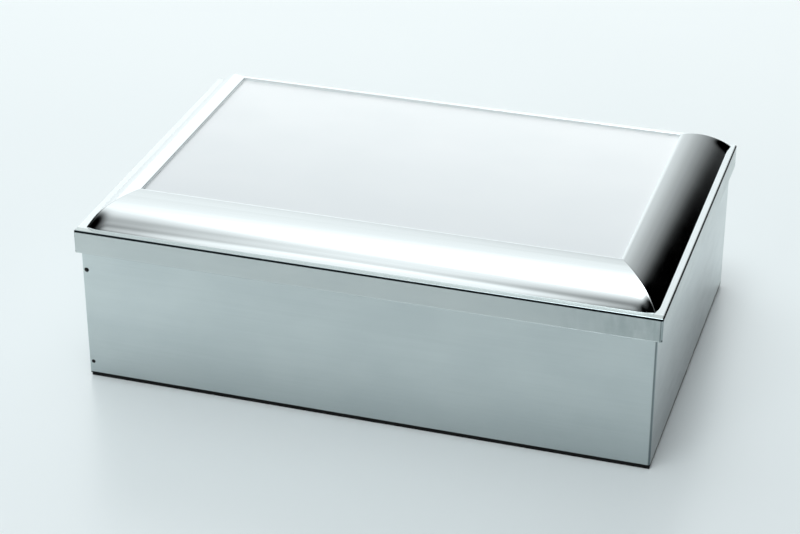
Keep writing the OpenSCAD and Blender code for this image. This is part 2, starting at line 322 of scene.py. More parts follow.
@dataclass(frozen=True)
class FootPaintedShade:
    """A painted shade that darkens a wall's tin towards its foot."""

    height: float
    power: float
    most: float

    def share(self, tree: bpy.types.NodeTree, z: bpy.types.NodeSocket) -> bpy.types.NodeSocket:
        """Draws the shade.

        Args:
            tree: The material's node tree.
            z: Height in millimetres.

        Returns:
            0 at the shade's top, and its most at the foot.
        """
        down = add_node(tree, "ShaderNodeMapRange", {0: z, 1: self.height, 2: 0.0}).outputs[0]
        deep = add_node(tree, "ShaderNodeMath", {0: down, 1: self.power}, operation="POWER").outputs[0]
        return add_node(tree, "ShaderNodeMath", {0: deep, 1: self.most}, operation="MULTIPLY").outputs[0]


@dataclass(frozen=True)
class WallTinplate(SatinTinplate):
    """Satin tinplate of the walls, with a black band along its foot.

    The eye gets the same sheet, a thin painted dark line beside the front right fold for its dark
    reflection, a painted shade that darkens the walls towards the foot, deepest on the right side, a black
    band along the foot, and a black ring round each rivet. The painted shades' depths are matched to the
    photograph.
    """

    black_band_top: float = 2.75
    black_band_tone: str = "#020303"
    # The photograph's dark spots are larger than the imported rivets' heads, and these rings make that up
    lower_ring: float = 1.2
    upper_ring: float = 1.45
    painted_bend_line: tuple[float, float] = (170.8, 171.5)
    painted_bend_tone: str = "#26383D"
    painted_shade_tone: str = "#414F57"
    front_painted_shade: FootPaintedShade = FootPaintedShade(60.0, 1.6, 0.33)
    right_painted_shade: FootPaintedShade = FootPaintedShade(100.0, 1.2, 0.82)
    right_wall: tuple[float, float] = (171.2, 171.8)
    right_shade_reach: tuple[float, float] = (105.0, 25.0)
    right_shade_back: float = 0.1
    # Depth counts this much in a ring's reach, so that the ring stays on its rivet's own wall
    flatness: float = 0.1

    def work(self, tree: bpy.types.NodeTree, shader: bpy.types.Node, place: bpy.types.NodeSocket) -> None:
        """Adds the painted shade towards the foot, the painted dark line by the fold, and the black band
        and rings; see the base class.
        """
        super().work(tree, shader, place)
        x, y, z = add_node(tree, "ShaderNodeSeparateXYZ", {0: place}).outputs
        right = add_node(tree, "ShaderNodeMapRange",
                         {0: x, 1: self.right_wall[0], 2: self.right_wall[1]}).outputs[0]
        front = add_node(tree, "ShaderNodeMath", {0: 1.0, 1: right}, operation="SUBTRACT").outputs[0]
        fore = add_node(tree, "ShaderNodeMapRange",
                        {0: y, 1: self.right_shade_reach[0], 2: self.right_shade_reach[1], 3: self.right_shade_back, 4: 1.0},
                        interpolation_type="SMOOTHSTEP").outputs[0]
        right_shade_reach = add_node(tree, "ShaderNodeMath", {0: fore, 1: right}, operation="MULTIPLY").outputs[0]
        # Painted shade: the walls darken towards the foot, most on the right wall's front part
        self.tint(tree, shader, self.front_painted_shade.share(tree, z), self.painted_shade_tone, front)
        self.tint(tree, shader, self.right_painted_shade.share(tree, z), self.painted_shade_tone, right_shade_reach)
        # Painted dark line beside the front right fold, standing for the fold's dark reflection
        self.tint(tree, shader, band(tree, x, *self.painted_bend_line, 0.25), self.painted_bend_tone, 0.7)
        sealed = self.sealed(tree, place, z)
        self.tint(tree, shader, sealed, self.black_band_tone)
        bare = add_node(tree, "ShaderNodeMath", {0: 1.0, 1: sealed}, operation="SUBTRACT").outputs[0]
        tree.links.new(bare, shader.inputs["Metallic"])
        before = shader.inputs["Roughness"].links[0].from_socket
        rough = add_node(tree, "ShaderNodeMath", {0: before, 1: sealed}, operation="MAXIMUM").outputs[0]
        tree.links.new(rough, shader.inputs["Roughness"])

    def sealed(self, tree: bpy.types.NodeTree, place: bpy.types.NodeSocket,
               z: bpy.types.NodeSocket) -> bpy.types.NodeSocket:
        """Marks where the wall is painted black.

        Args:
            tree: The material's node tree.
            place: Coordinates in millimetres.
            z: Their height.

        Returns:
            1 along the foot and round each corner rivet, and 0 elsewhere.
        """
        sealed = band(tree, z, -1.0, self.black_band_top, 0.15)
        flat = add_node(tree, "ShaderNodeVectorMath", {0: place, 1: (1.0, self.flatness, 1.0)},
                        operation="MULTIPLY").outputs[0]
        for rivets in ("corner_rivets_front_left", "corner_rivets_back_right"):
            low, high = (Vector(corner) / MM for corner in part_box(rivets))
            head = (high.x - low.x) / 2
            depth = (low.y + high.y) / 2 * self.flatness
            for height, ring in ((low.z + head, self.lower_ring), (high.z - head, self.upper_ring)):
                away = add_node(tree, "ShaderNodeVectorMath", {0: flat, 1: (low.x + head, depth, height)},
                                operation="DISTANCE")
                black = band(tree, away.outputs["Value"], -1.0, ring, 0.12)
                sealed = add_node(tree, "ShaderNodeMath", {0: sealed, 1: black},
                                  operation="MAXIMUM").outputs[0]
        return sealed


@dataclass(frozen=True)
class PanTinplate(SatinTinplate):
    """Satin tinplate of the lid's pan, whose top edge is pressed tight against the skirt.

    The eye gets the same sheet, a thin black painted shade along the fold round the top, a painted
    highlight on the ledge at the sides and the back, a painted paler highlight along the hem, a painted
    shade in streaks by the front right corner, and a painted dark line beside the right folds, which stands
    for their dark reflection.
    """

    top_bend_shade: tuple[float, float] = (98.6, 99.78)
    top_bend_shade_tone: str = "#06161A"
    painted_bend_line: tuple[float, float] = (173.4, 174.0)
    painted_bend_tone: str = "#26383D"
    corner_shade_reach: tuple[float, float] = (85.0, 176.0)
    corner_shade_tone: str = "#6C8082"
    skirt_front: tuple[float, float] = (-114.4, -115.4)
    ledge: tuple[float, float] = (99.8, 101.0)
    ledge_highlight_from: tuple[float, float] = (-111.6, -111.0)
    ledge_highlight: str = "#EDF2F3"
    hem: tuple[float, float] = (84.0, 85.9)
    wear_and_highlight: str = "#F4F8F8"
    skirt_top: float = 98.8

    def work(self, tree: bpy.types.NodeTree, shader: bpy.types.Node, place: bpy.types.NodeSocket) -> None:
        """Adds the painted shade along the top, the painted fold lines, the ledge's and hem's painted
        highlights and the painted corner shade; see the base class.
        """
        super().work(tree, shader, place)
        x, y, z = add_node(tree, "ShaderNodeSeparateXYZ", {0: place}).outputs
        front, behind = (add_node(tree, "ShaderNodeMapRange", {0: y, 1: start, 2: full}).outputs[0]
                         for start, full in (self.skirt_front, self.ledge_highlight_from))
        # Painted shade: the skirt darkens in streaks towards the front right corner
        near = add_node(tree, "ShaderNodeMapRange", {0: x, 1: self.corner_shade_reach[0], 2: self.corner_shade_reach[1]},
                        interpolation_type="SMOOTHSTEP").outputs[0]
        corner_shade_reach = add_node(tree, "ShaderNodeMath", {0: near, 1: front}, operation="MULTIPLY").outputs[0]
        self.tint(tree, shader, corner_shade_reach, self.corner_shade_tone, pattern(tree, place, (5.0, 5.0, 16.0), 0.1, 0.38))
        # Painted highlight on the ledge at the sides and the back
        self.tint(tree, shader, behind, self.ledge_highlight, band(tree, z, *self.ledge, 0.05))
        # Painted highlight along the hem
        self.tint(tree, shader, band(tree, z, *self.hem, 0.1), self.wear_and_highlight, 0.16)
        # Painted dark line beside the skirt's right folds, standing for their dark reflection
        skirt = band(tree, z, 0.0, self.skirt_top, 0.1)
        line = add_node(tree, "ShaderNodeMath", {0: band(tree, x, *self.painted_bend_line, 0.25), 1: skirt},
                        operation="MULTIPLY").outputs[0]
        self.tint(tree, shader, line, self.painted_bend_tone, 0.6)
        # Painted shade: a black line along the fold round the top
        self.tint(tree, shader, band(tree, z, *self.top_bend_shade, 0.12), self.top_bend_shade_tone, 0.98)


@dataclass(frozen=True)
class PolishedMoulding(Finish):
    """Aluminium moulding: drawn through a die, buffed along its length and bright-dipped.

    The eye gets a mirror with slightly soft edges, hairlines along the bar, slow buffing waves that bend
    the reflections a little, and faint smears where it is held.
    """

    run: Run = Run.ALONG_X
    # Buffing hairlines are far under 0.1 mm wide, too fine to show, so they are drawn coarser
    hairline: float = 0.35
    hairline_length: float = 140.0
    wave: float = 26.0

    def work(self, tree: bpy.types.NodeTree, shader: bpy.types.Node, place: bpy.types.NodeSocket) -> None:
        """Adds hairlines, buffing waves and smears; see the base class."""
        lines = pattern(tree, place, self.run.mark(self.hairline_length, self.hairline), 0.0, 1.0)
        smeared = pattern(tree, place, (24.0, 24.0, 8.0), self.roughness, self.roughness + 0.02, 3.0)
        rough = add_node(tree, "ShaderNodeMath", {0: lines, 1: 0.012, 2: smeared},
                         operation="MULTIPLY_ADD")
        tree.links.new(rough.outputs[0], shader.inputs["Roughness"])
        self.tint(tree, shader, lines, "#CBD3D7", 0.1)
        self.relief(tree, shader, lines, 0.0003)
        self.relief(tree, shader, pattern(tree, place, (self.wave,) * 3, 0.0, 1.0, 0.0), 0.01)


@dataclass(frozen=True)
class PearlLacquer(Finish):
    """Aluminium sheet: etched, then sprayed with a thin pale lacquer that holds some metal flake.

    The eye gets an even, nearly white sheen that looks pale from every side, a painted shade that greys it
    towards the front, and a very fine tooth.
    """

    # The etched tooth is under 0.1 mm, too fine to show, so it is drawn coarser
    tooth: float = 0.6
    painted_grey: str = "#BBC0C5"
    painted_grey_span: tuple[float, float] = (75.0, -95.0)
    painted_grey_most: float = 0.48

    def work(self, tree: bpy.types.NodeTree, shader: bpy.types.Node, place: bpy.types.NodeSocket) -> None:
        """Adds the painted shade towards the front, soft clouds and tooth; see the base class."""
        # Painted shade: the panel greys towards the front
        depth = add_node(tree, "ShaderNodeSeparateXYZ", {0: place}).outputs[1]
        greyed_forward = add_node(tree, "ShaderNodeMapRange", {0: depth, 1: self.painted_grey_span[0], 2: self.painted_grey_span[1]})
        self.tint(tree, shader, greyed_forward.outputs[0], self.painted_grey, self.painted_grey_most)
        clouds = pattern(tree, place, (60.0, 45.0, 60.0), 0.0, 1.0)
        self.tint(tree, shader, clouds, "#CDD5D9", 0.08)
        rough = add_node(tree, "ShaderNodeMapRange",
                         {0: clouds, 3: self.roughness - 0.02, 4: self.roughness + 0.03})
        tree.links.new(rough.outputs[0], shader.inputs["Roughness"])
        self.relief(tree, shader, pattern(tree, place, (self.tooth,) * 3, 0.0, 1.0), 0.002)


@dataclass(frozen=True)
class BlackFoam(Finish):
    """Black sponge rubber sheet: foamed between belts and cut with a knife.

    The eye gets a dull black with a fine open grain and no shine.
    """

    cell: float = 0.8

    def work(self, tree: bpy.types.NodeTree, shader: bpy.types.Node, place: bpy.types.NodeSocket) -> None:
        """Adds open cells and dusty patches; see the base class."""
        cells = pattern(tree, place, (self.cell,) * 3, 0.0, 1.0)
        self.tint(tree, shader, cells, "#1A1B1D", 0.35)
        rough = pattern(tree, place, (22.0,) * 3, self.roughness - 0.06, self.roughness)
        tree.links.new(rough, shader.inputs["Roughness"])
        self.relief(tree, shader, cells, 0.06)


@dataclass(frozen=True)
class SetRivet(Finish):
    """Solid rivet: cut from wire, headed cold and closed with a hammer.

    The eye gets a small dome with the dimples of its set, duller in the dimples.
    """

    worn: str = "#7C7F84"
    dimple: float = 0.7

    def work(self, tree: bpy.types.NodeTree, shader: bpy.types.Node, place: bpy.types.NodeSocket) -> None:
        """Adds dimples and rubbed spots; see the base class."""
        dimples = pattern(tree, place, (self.dimple,) * 3, 0.0, 1.0)
        wear_and_highlight = add_node(tree, "ShaderNodeMapRange", {0: dimples, 1: 0.72, 2: 1.0})
        self.tint(tree, shader, wear_and_highlight.outputs[0], self.worn, 0.5)
        rough = add_node(tree, "ShaderNodeMapRange",
                         {0: dimples, 3: self.roughness + 0.08, 4: self.roughness - 0.05})
        tree.links.new(rough.outputs[0], shader.inputs["Roughness"])
        self.relief(tree, shader, dimples, 0.02)


@dataclass(frozen=True)
class CastAlloy(Finish):
    """Aluminium alloy: cast under pressure in a steel die and left as it came out.

    The eye gets a dull grey skin with small pits and flow marks.
    """

    pit: float = 0.9

    def work(self, tree: bpy.types.NodeTree, shader: bpy.types.Node, place: bpy.types.NodeSocket) -> None:
        """Adds pits and flow marks; see the base class."""
        pits = pattern(tree, place, (self.pit,) * 3, 0.0, 1.0, 3.0)
        flow = pattern(tree, place, (14.0, 14.0, 5.0), 0.0, 0.6, 3.0)
        self.tint(tree, shader, flow, "#74777B")
        rough = add_node(tree, "ShaderNodeMapRange",
                         {0: pits, 3: self.roughness - 0.08, 4: self.roughness + 0.08})
        tree.links.new(rough.outputs[0], shader.inputs["Roughness"])
        self.relief(tree, shader, pits, 0.03)


@dataclass(frozen=True)
class ZincPlate(Finish):
    """Zinc plated steel: turned or rolled, then plated bright from a bath.

    The eye gets a bluish grey metal with faint yellow clouds.
    """

    cloud: float = 3.0
    # Plated grain is far under 0.1 mm, too fine to show, so it is drawn coarser
    grain: float = 0.4

    def work(self, tree: bpy.types.NodeTree, shader: bpy.types.Node, place: bpy.types.NodeSocket) -> None:
        """Adds clouds of passivation and fine grain; see the base class."""
        clouds = pattern(tree, place, (self.cloud,) * 3, 0.0, 0.5)
        self.tint(tree, shader, clouds, "#B9B39C")
        rough = pattern(tree, place, (1.2,) * 3, self.roughness - 0.05, self.roughness + 0.07)
        tree.links.new(rough, shader.inputs["Roughness"])
        self.relief(tree, shader, pattern(tree, place, (self.grain,) * 3, 0.0, 1.0), 0.006)


@dataclass(frozen=True)
class PressedBoard(Finish):
    """Grey board: waste-paper fibre, couched in layers and pressed dry.

    The eye gets a warm grey-brown sheet with pale and dark fibres lying at random.
    """

    fibre: float = 2.4
    # Paper fibres are far under 0.1 mm wide, too fine to show, so they are drawn coarser
    fibre_width: float = 0.35

    def work(self, tree: bpy.types.NodeTree, shader: bpy.types.Node, place: bpy.types.NodeSocket) -> None:
        """Adds crossing fibres and their relief; see the base class."""
        one, two = (pattern(tree, place, run.mark(self.fibre, self.fibre_width), 0.0, 0.6)
                    for run in Run)
        self.tint(tree, shader, one, "#7A6851")
        self.tint(tree, shader, two, "#B8A588")
        rough = pattern(tree, place, (12.0,) * 3, self.roughness - 0.05, self.roughness)
        tree.links.new(rough, shader.inputs["Roughness"])
        both = add_node(tree, "ShaderNodeMath", {0: one, 1: two}, operation="ADD").outputs[0]
        self.relief(tree, shader, both, 0.05)


@dataclass(frozen=True)
class PlanedSpruce(Finish):
    """Spruce batten: sawn along the grain and planed.

    The eye gets pale wood with darker late-wood lines a few millimetres apart and fine fibres along it.
    """

    run: Run = Run.ALONG_X
    ring: float = 2.6
    ring_length: float = 120.0
    # Spruce fibres are under 0.1 mm wide, too fine to show, so they are drawn coarser
    fibre: float = 0.3
    fibre_length: float = 9.0

    def work(self, tree: bpy.types.NodeTree, shader: bpy.types.Node, place: bpy.types.NodeSocket) -> None:
        """Adds year rings and fibres; see the base class."""
        rings = pattern(tree, place, self.run.mark(self.ring_length, self.ring), 0.0, 1.0)
        late = add_node(tree, "ShaderNodeMapRange", {0: rings, 1: 0.45, 2: 0.95})
        self.tint(tree, shader, late.outputs[0], "#A97B4B", 0.75)
        fibres = pattern(tree, place, self.run.mark(self.fibre_length, self.fibre), 0.0, 1.0)
        self.tint(tree, shader, fibres, "#B98F60", 0.25)
        rough = add_node(tree, "ShaderNodeMapRange",
                         {0: rings, 3: self.roughness, 4: self.roughness - 0.12})
        tree.links.new(rough.outputs[0], shader.inputs["Roughness"])
        self.relief(tree, shader, fibres, 0.03)


@dataclass(frozen=True)
class BackdropBoard(Finish):
    """Backdrop board: card with a pale satin film, calendered smooth.

    The eye gets an even pale ground that blurs what stands on it, painted paler in the distance as light
    that falls off towards the front.
    """

    far: str = "#FAFDFD"
    painted_falloff: tuple[float, float] = (-200.0, 1100.0)
    # Such a film has an index of 1.5; more gives the darker ground that the walls mirror
    index: float = 1.75

    def work(self, tree: bpy.types.NodeTree, shader: bpy.types.Node, place: bpy.types.NodeSocket) -> None:
        """Adds the film's sheen, its soft clouds and the painted light that pales the distance; see the
        base class.
        """
        shader.inputs["Specular IOR Level"].default_value = 1.0
        shader.inputs["IOR"].default_value = self.index
        # Painted light: the ground is paler away from the front
        depth = add_node(tree, "ShaderNodeSeparateXYZ", {0: place}).outputs[1]
        away = add_node(tree, "ShaderNodeMapRange", {0: depth, 1: self.painted_falloff[0], 2: self.painted_falloff[1]},
                        interpolation_type="SMOOTHSTEP")
        self.tint(tree, shader, away.outputs[0], self.far)
        clouds = pattern(tree, place, (260.0,) * 3, 0.0, 0.1, 1.0)
        self.tint(tree, shader, clouds, "#DDE3E6")


class Finishes:
    """Every finish of the tin, by the name of its material slot in the record."""

    def __init__(self) -> None:
        """Builds each material once."""
        self.made: dict[tuple[str, Run], bpy.types.Material] = {}
        either_way = {
            "wall_tinplate": WallTinplate("wall_satin_tinplate", "#CDD6D6", 0.16),
            "lid_tinplate": PanTinplate("lid_satin_tinplate", "#CBD2D1", 0.22),
            "plate_tinplate": SatinTinplate("base_satin_tinplate", "#CBD3D5", 0.36),
            "satin_panel": PearlLacquer("panel_pearl_lacquer", "#FAFBFC", 0.3, 0.06),
            "black_pad": BlackFoam("pad_black_foam", "#060607", 0.92, 0.0),
            "dark_rivet": SetRivet("rivet_blackened_steel", "#050506", 0.62, 0.3, worn="#1C1D20"),
            "bright_rivet": SetRivet("rivet_aluminium", "#D5D7DA", 0.34, worn="#F1F2F3"),
            "key_alloy": CastAlloy("key_cast_aluminium", "#A6A8AC", 0.5),
            "board": PressedBoard("backing_pressed_board", "#9A876B", 0.95, 0.0),
            "screw_steel": ZincPlate("screw_zinc_plate", "#C6C8CB", 0.28),
        }
        for slot, finish in either_way.items():
            material = finish.material()
            self.made.update({(slot, run): material for run in Run})
        for run in Run:
            way = run.name.lower()
            self.made["polished_moulding", run] = PolishedMoulding(
                f"moulding_polished_aluminium_{way}", "#EEF2F3", 0.045, run=run).material()
            self.made["batten_wood", run] = PlanedSpruce(
                f"batten_planed_spruce_{way}", "#D9B98C", 0.72, 0.0, run=run).material()

    def dress(self, node: str, slot: str, run: Run = Run.ALONG_X) -> None:
        """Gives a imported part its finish.

        Args:
            node: Name of the part.
            slot: The material slot that its finish belongs to.
            run: The way that the part runs.
        """
        material = self.made[slot, run]
        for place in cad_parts[node].material_slots:
            place.material = material
        log.info("dressed %s as %s", node, material.name)


# The tin


@dataclass
class Box:
    """The open box: two folded wall sheets, the base plate, its rivets and the pad under it."""

    walls: tuple[str, str] = ("front_right_wall", "back_left_wall")
    corner_rivets: tuple[str, str] = ("corner_rivets_front_left", "corner_rivets_back_right")

    def build(self, finishes: Finishes) -> None:
        """Dresses the parts of the box.

        Args:
            finishes: The tin's finishes.
        """
        for wall in self.walls:
            finishes.dress(wall, "wall_tinplate")
        for rivets in self.corner_rivets:
            finishes.dress(rivets, "dark_rivet")
        finishes.dress("base_plate", "plate_tinplate")
        finishes.dress("base_rivets", "bright_rivet")
        finishes.dress("base_pad", "black_pad")


@dataclass
class MouldingBar:
    """One mitred, hollow moulding with a bulged face, a flat land and a rounded lip over the panel.

    u runs inwards from the foot and v up from the lid's ledge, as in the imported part. The drawn bar has
    the softened mitre edges that buffing leaves, and next to them its foot is filed back a little, or
    stands out where the corner key presses on it.
    """

    side: Side
    width: float = 26.6
    height: float = 17.2
    bulge: float = 3.35
    skin: float = 1.5
    lip: float = 3.0
    lip_round: float = 0.35
    land: float = 16.95
    recess: float = 2.0
    mitre_round: float = 1.3
    mitre_gap: float = 0.03
    ends: tuple[float, float] = (-1.6, -1.6)
    ends_length: float = 5.0
    ends_width: float = 16.0
    face_steps: int = 64
    lip_steps: int = 8
    edge_steps: int = 7
    end_steps: int = 14
    # How much wider each step along an end is than the one before, as a power
    end_widening: float = 1.6

    def face(self) -> tuple[float, float, float]:
        """Finds the circle of the bulged face.

        Returns:
            Its middle's u and v, and its radius.
        """
        chord = math.hypot(self.width, self.height)
        radius = (chord ** 2 / 4 + self.bulge ** 2) / (2 * self.bulge)
        back = radius - self.bulge
        return (self.width / 2 + back * self.height / chord, self.height / 2 - back * self.width / chord,
                radius)

    def outer_profile(self) -> list[tuple[float, ...]]:
        """Draws the outside of the bar's section.

        Returns:
            Points round the section, each with u, v and the lean of its outward normal in u and v. Those on
            the face also have their way up from the foot.
        """
        mid_u, mid_v, radius = self.face()
        foot_turn = math.atan2(-mid_v, -mid_u)
        land_turn = math.pi - math.asin((self.land - mid_v) / radius)
        web = self.width - self.lip
        rebate = self.height - self.recess
        points = []
        for step in range(self.face_steps + 1):
            angle = foot_turn + (land_turn - foot_turn) * step / self.face_steps
            points.append((mid_u + radius * math.cos(angle), mid_v + radius * math.sin(angle),
                           math.cos(angle), math.sin(angle), radius * (foot_turn - angle)))
        for step in range(self.lip_steps + 1):
            angle = math.pi / 2 * (1 - step / self.lip_steps)
            lean_u, lean_v = math.cos(angle), math.sin(angle)
            points.append((self.width + self.lip_round * (lean_u - 1),
                           self.land + self.lip_round * (lean_v - 1), lean_u, lean_v))
        points += [(self.width, rebate, 1.0, 0.0), (web, rebate, 0.0, 0.0), (web, 0.0, 0.0, 0.0)]
        return points

    def inner_profile(self) -> list[tuple[float, float]]:
        """Draws the hollow of the bar's section.

        Returns:
            Points round the hollow, each with u and v.
        """
        mid_u, mid_v, radius = self.face()
        inside = radius - self.skin
        web = self.width - self.lip - self.skin
        low = math.acos((self.skin - mid_v) / inside)
        high = math.asin((web - mid_u) / inside)
        points = [(web, self.skin)]
        for step in range(self.face_steps // 2 + 1):
            angle = high + (-low - high) * step / (self.face_steps // 2)
            points.append((mid_u + inside * math.sin(angle), mid_v + inside * math.cos(angle)))
        return points

    def distances(self) -> list[float]:
        """Spaces the stations along one end of the bar.

        Returns:
            Distances from the mitre: dense over the rounded edge, then wider over the swelling.
        """
        edge = self.mitre_round
        rounded = [edge * step / self.edge_steps for step in range(self.edge_steps)]
        # Three lengths along, hardly any of the swelling is left
        reach = 3 * self.ends_length - edge
        return rounded + [edge + reach * (step / self.end_steps) ** self.end_widening
                          for step in range(self.end_steps + 1)]

    def station(self, along: float, end: int, half: float, point: tuple[float, ...]) -> Vector:
        """Places one point of the section near a mitre, with the mitre's edge rounded and its foot dressed.

        Args:
            along: The station's distance from the mitre, along the bar.
            end: -1 at the left end and 1 at the right.
            half: Half the bar's length at its foot.
            point: The point's u and v, and its normal and way up the face where it has them.

        Returns:
            The point with x along the bar, y inwards and z up.
        """
        u, v = point[0], point[1]
        lean_u, lean_v = (point[2], point[3]) if len(point) > 2 else (0.0, 0.0)
        where = Vector((end * (half - u - self.mitre_gap / 2 - along), u, v))
        if len(point) > 4 and point[4] < self.ends_width:
            rise = math.cos(math.pi / 2 * point[4] / self.ends_width) ** 2
            push = self.ends[(end + 1) // 2] * rise * math.exp(-(along / self.ends_length) ** 2)
            where += push * lean_u * Vector((-end, 1.0, 0.0))
        slant = abs(lean_u) / math.sqrt(2) if lean_u < 0 else 0.0
        away = along / math.sqrt(2)
        # A face that runs straight on round the mitre has no edge there to round
        straight = 0.01
        if slant > straight and away < self.mitre_round * slant:
            lean = math.asin(slant)
            drop = (self.mitre_round / math.cos(lean) - away * math.tan(lean)
                    - math.sqrt(self.mitre_round ** 2 - away ** 2))
            across = Vector((end, -1.0, 0.0)).normalized()
            normal = Vector((0.0, lean_u, lean_v))
            ridge = (normal - across * normal.dot(across)).normalized()
            where -= ridge * drop
        return where

    def mesh(self, half: float) -> bmesh.types.BMesh:
        """Draws the bar out between its mitres.

        Args:
            half: Half the bar's length at its foot.

        Returns:
            The closed bar, with x along it, y inwards and z up.
        """
        bar = bmesh.new()
        outer, inner = self.outer_profile(), self.inner_profile()
        away = self.distances()
        places = [(s, -1) for s in away] + [(s, 1) for s in reversed(away)]
        tubes = []
        for loop in (outer, inner):
            rings = [[bar.verts.new(self.station(along, end, half, point)) for point in loop]
                     for along, end in places]
            for first, second in zip(rings, rings[1:]):
                for k in range(len(loop)):
                    after = (k + 1) % len(loop)
                    bar.faces.new((first[k], first[after], second[after], second[k]))
            tubes.append(rings)
        for last in (0, -1):
            edges = []
            for rings in tubes:
                ring = rings[last]
                edges += [bar.edges.get((ring[k], ring[(k + 1) % len(ring)])) for k in range(len(ring))]
            bmesh.ops.triangle_fill(bar, edges=edges, use_beauty=True)
        bmesh.ops.recalc_face_normals(bar, faces=bar.faces)
        return bar


@dataclass
class Lid:
    """The lid: a hemmed pan, four polished mouldings, and the sunk panel with what holds it."""

    width: float = 350.0
    depth: float = 231.0
    ledge: float = 4.4
    ledge_height: float = 100.0
    # Smallest turn, in degrees, between two faces of a moulding that meet in a sharp edge
    sharp: float = 40.0
    # How far each moulding's foot stands out at its two ends, from the left as seen from outside
    dressing: dict[Side, tuple[float, float]] = field(default_factory=lambda: {
        Side.FRONT: (-1.6, -1.6), Side.RIGHT: (-1.6, 1.3), Side.BACK: (1.3, -1.6), Side.LEFT: (-1.6, -1.6)})

    def build(self, finishes: Finishes) -> None:
        """Builds the mouldings and dresses the rest of the lid.

        Args:
            finishes: The tin's finishes.
        """
        finishes.dress("lid_pan", "lid_tinplate")
        finishes.dress("lid_panel", "satin_panel")
        finishes.dress("backing_board", "board")
        finishes.dress("lid_screws", "screw_steel")
        for corner in ("front_right", "back_right", "back_left", "front_left"):
            finishes.dress(f"corner_key_{corner}", "key_alloy")
        for side in Side:
            run = Run.ALONG_X if side in (Side.FRONT, Side.BACK) else Run.ALONG_Y
            finishes.dress(f"batten_{side.name.lower()}", "batten_wood", run)
            bar = MouldingBar(side, ends=self.dressing[side])
            self.add_moulding(bar, finishes.made["polished_moulding", run], run)

    def add_moulding(self, bar: MouldingBar, finish: bpy.types.Material, run: Run) -> None:
        """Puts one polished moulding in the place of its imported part.

        Args:
            bar: The moulding.
            finish: Its material.
            run: The way that it runs.
        """
        long, across = (self.width, self.depth) if run is Run.ALONG_X else (self.depth, self.width)
        shape = bar.mesh(long / 2 - self.ledge)
        place = (Matrix.Rotation(math.radians(90 * bar.side.value), 4, "Z")
                 @ Matrix.Translation((0, self.ledge - across / 2, self.ledge_height)))
        bmesh.ops.transform(shape, matrix=Matrix.Scale(MM, 4) @ place, verts=shape.verts)
        piece = add_mesh(f"polished_moulding_{bar.side.name.lower()}", shape, finish)
        piece.data.shade_smooth()
        piece.data.set_sharp_from_angle(angle=math.radians(self.sharp))
        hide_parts(f"moulding_{bar.side.name.lower()}")
        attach(piece, "lid")
        log.info("built %s with %d faces", piece.name, len(piece.data.polygons))


# The studio


@dataclass(frozen=True)
class SoftPatch:
    """Brightness of the surroundings by the angle from one direction.

    The azimuth is 0 at the back and 90 at the right, in degrees, and the elevation is above the floor.
    """

    azimuth: float
    elevation: float
    levels: tuple[tuple[float, float], ...]

    def direction(self) -> Vector:
        """The way to the middle of the patch."""
        turn, rise = math.radians(self.azimuth), math.radians(self.elevation)
        return Vector((math.sin(turn) * math.cos(rise), math.cos(turn) * math.cos(rise), math.sin(rise)))

    def brightness(self, tree: bpy.types.NodeTree, way: bpy.types.NodeSocket) -> bpy.types.NodeSocket:
        """Draws the patch.

        Args:
            tree: The world's node tree.
            way: The direction looked at.

        Returns:
            The brightness there.
        """
        dot = add_node(tree, "ShaderNodeVectorMath", {0: way, 1: self.direction()}, operation="DOT_PRODUCT")
        angle = add_node(tree, "ShaderNodeMath", {0: dot.outputs["Value"]}, operation="ARCCOSINE")
        share = add_node(tree, "ShaderNodeMath", {0: angle.outputs[0], 1: math.pi}, operation="DIVIDE")
        # A smooth ramp holds nothing over one, so it is drawn as a share of the brightest level
        most = max(level for _, level in self.levels)
        stops = [(degrees / 180, (level / most,) * 3 + (1.0,)) for degrees, level in self.levels]
        ramp = add_node(tree, "ShaderNodeValToRGB", {0: share.outputs[0]}, stops)
        ramp.color_ramp.interpolation = "CARDINAL"
        level = add_node(tree, "ShaderNodeMath", {0: ramp.outputs[0], 1: most}, operation="MULTIPLY")
        return level.outputs[0]


